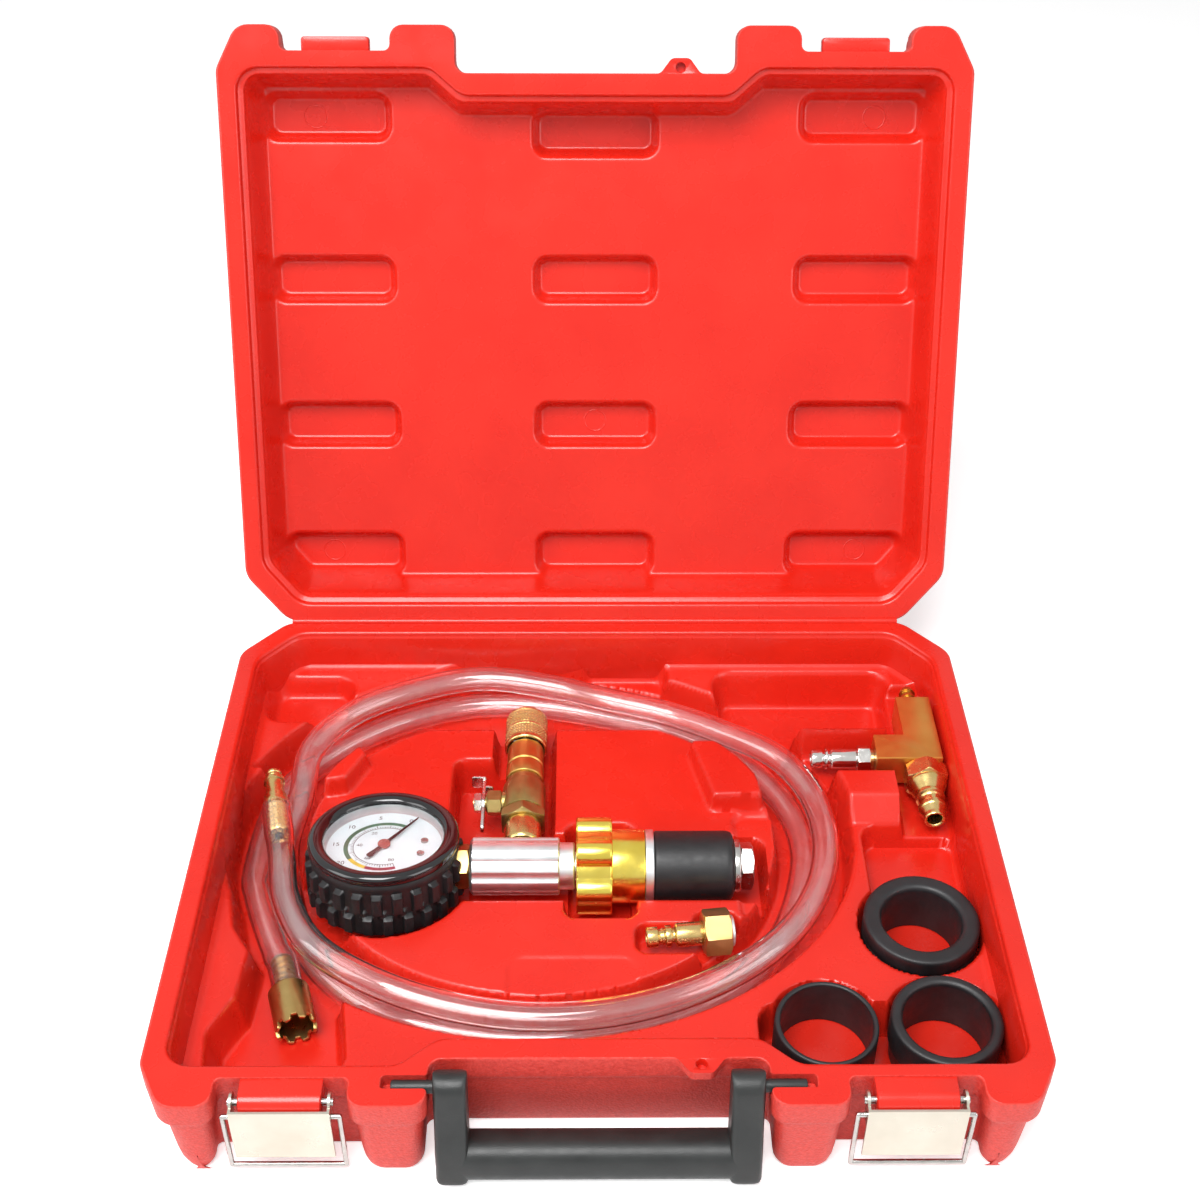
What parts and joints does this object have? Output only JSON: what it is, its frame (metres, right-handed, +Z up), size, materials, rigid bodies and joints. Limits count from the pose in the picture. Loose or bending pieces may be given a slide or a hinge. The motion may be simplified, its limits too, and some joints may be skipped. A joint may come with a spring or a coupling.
{
  "type": "coolant vacuum refill kit",
  "caption": "Open moulded carry case holding a gauge, valve and expanding-plug tool, a venturi, an adapter, rubber rings and a coiled clear hose for refilling engine cooling systems",
  "frame": {"origin": "on the floor under the centre of the case rim", "axes": "X to the right along the front of the case, Y to the hinge, Z up"},
  "size_m": [0.34, 0.4169, 0.3009],
  "materials": {
    "red_plastic": "satin, fine texture outside",
    "dark_plastic": "satin",
    "latch_metal": "nickel plated",
    "steel": "zinc plated",
    "rubber": "matte",
    "brass": "turned",
    "aluminium": "satin",
    "gold_anodised": "gold anodised",
    "lens": "clear",
    "white_plastic": "printed white",
    "clear_hose": "clear flexible"
  },
  "bodies": {
    "base": {"case_base": "red_plastic", "hinge_strip": "red_plastic", "latch_pins": "latch_metal"},
    "lid": {"case_lid": "red_plastic"},
    "handle": {"carry_handle": "dark_plastic"},
    "latch_left": {"latch_plate_left": "latch_metal"},
    "latch_right": {"latch_plate_right": "latch_metal"},
    "bail_left": {"latch_bail_left": "latch_metal"},
    "bail_right": {"latch_bail_right": "latch_metal"},
    "gauge_tool": {"gauge_boot": "rubber", "gauge_case": "dark_plastic", "gauge_bezel": "dark_plastic", "gauge_lens": "lens", "gauge_dial": "white_plastic", "dial_screws": "steel", "gauge_movement": "brass", "bourdon_tube": "brass", "gauge_stem": "brass", "manifold_body": "aluminium", "valve_nipple": "brass", "valve_body": "brass", "valve_seats": "white_plastic", "coupler_body": "brass", "coupler_spring": "steel", "coupler_balls": "steel", "coupler_seal": "rubber", "expander_tube": "steel", "expander_rubber": "rubber", "expander_nut": "steel"},
    "needle": {"gauge_needle": "dark_plastic"},
    "valve_handle": {"valve_ball": "latch_metal", "valve_stem": "brass", "valve_lever": "steel", "lever_nut": "steel"},
    "sleeve": {"coupler_sleeve": "brass"},
    "washer": {"press_washer": "steel"},
    "knob": {"expander_knob": "gold_anodised"},
    "venturi": {"venturi_block": "brass", "venturi_barb": "brass", "venturi_plug": "latch_metal", "venturi_coupling": "brass", "venturi_jet": "brass"},
    "adapter": {"adapter_nipple": "brass", "adapter_nut": "brass", "adapter_seal": "steel"},
    "large_ring": {"ring_large": "rubber"},
    "thin_ring": {"ring_thin": "rubber"},
    "medium_ring": {"ring_medium": "rubber"},
    "hose": {"hose_tube": "clear_hose", "hose_plug": "brass", "hose_foot": "brass"}
  },
  "joints": [
    {"name": "lid_hinge", "type": "hinge", "parent": "base", "child": "lid", "pos_m": [0, 0.1385, 0.04415], "axis": [-1, 0, 0], "range_deg": [-112, 0]},
    {"name": "handle_swing", "type": "hinge", "parent": "base", "child": "handle", "pos_m": [0, -0.128, 0.041], "axis": [-1, 0, 0], "range_deg": [0, 150]},
    {"name": "latch_left_swing", "type": "hinge", "parent": "base", "child": "latch_left", "pos_m": [-0.1165, -0.1325, 0.0385], "axis": [1, 0, 0], "range_deg": [-95, 0]},
    {"name": "latch_right_swing", "type": "hinge", "parent": "base", "child": "latch_right", "pos_m": [0.1165, -0.1325, 0.0385], "axis": [1, 0, 0], "range_deg": [-95, 0]},
    {"name": "bail_left_swing", "type": "hinge", "parent": "latch_left", "child": "bail_left", "pos_m": [-0.1165, -0.1357, 0.034], "axis": [-1, 0, 0], "range_deg": [0, 172]},
    {"name": "bail_right_swing", "type": "hinge", "parent": "latch_right", "child": "bail_right", "pos_m": [0.1165, -0.1357, 0.034], "axis": [-1, 0, 0], "range_deg": [0, 172]},
    {"name": "gauge_lift", "type": "slide", "parent": "base", "child": "gauge_tool", "axis": [0, 0, 1], "range_m": [0, 0.09]},
    {"name": "needle_swing", "type": "hinge", "parent": "gauge_tool", "child": "needle", "pos_m": [-0.091, -0.0045, 0.0245], "axis": [0, 0.1908, 0.9816], "range_deg": [0, 270]},
    {"name": "valve_turn", "type": "hinge", "parent": "gauge_tool", "child": "valve_handle", "pos_m": [-0.0325, 0.0335, 0.0245], "axis": [1, 0, 0], "range_deg": [0, 90]},
    {"name": "sleeve_slide", "type": "slide", "parent": "gauge_tool", "child": "sleeve", "axis": [0, -1, 0], "range_m": [0, 0.004], "stiffness_N_per_m": 600, "springref_m": -0.003, "deforming": ["coupler_spring"]},
    {"name": "washer_press", "type": "slide", "parent": "gauge_tool", "child": "washer", "axis": [1, 0, 0], "range_m": [0, 0.0051], "deforming": ["expander_rubber"]},
    {"name": "knob_turn", "type": "hinge", "parent": "washer", "child": "knob", "pos_m": [0, -0.0045, 0.0245], "axis": [1, 0, 0], "range_deg": [0, 1028.57]},
    {"name": "venturi_lift", "type": "slide", "parent": "base", "child": "venturi", "axis": [0, 0, 1], "range_m": [0, 0.09]},
    {"name": "adapter_lift", "type": "slide", "parent": "base", "child": "adapter", "axis": [0, 0, 1], "range_m": [0, 0.09]},
    {"name": "large_ring_lift", "type": "slide", "parent": "base", "child": "large_ring", "axis": [0, 0, 1], "range_m": [0, 0.09]},
    {"name": "thin_ring_lift", "type": "slide", "parent": "base", "child": "thin_ring", "axis": [0, 0, 1], "range_m": [0, 0.09]},
    {"name": "medium_ring_lift", "type": "slide", "parent": "base", "child": "medium_ring", "axis": [0, 0, 1], "range_m": [0, 0.09]},
    {"name": "hose_lift", "type": "slide", "parent": "base", "child": "hose", "axis": [0, 0, 1], "range_m": [0, 0.09]}
  ],
  "couplings": [
    {"joint": "washer_press", "follows": "knob_turn", "m_per_rad": 0.00027852}
  ]
}
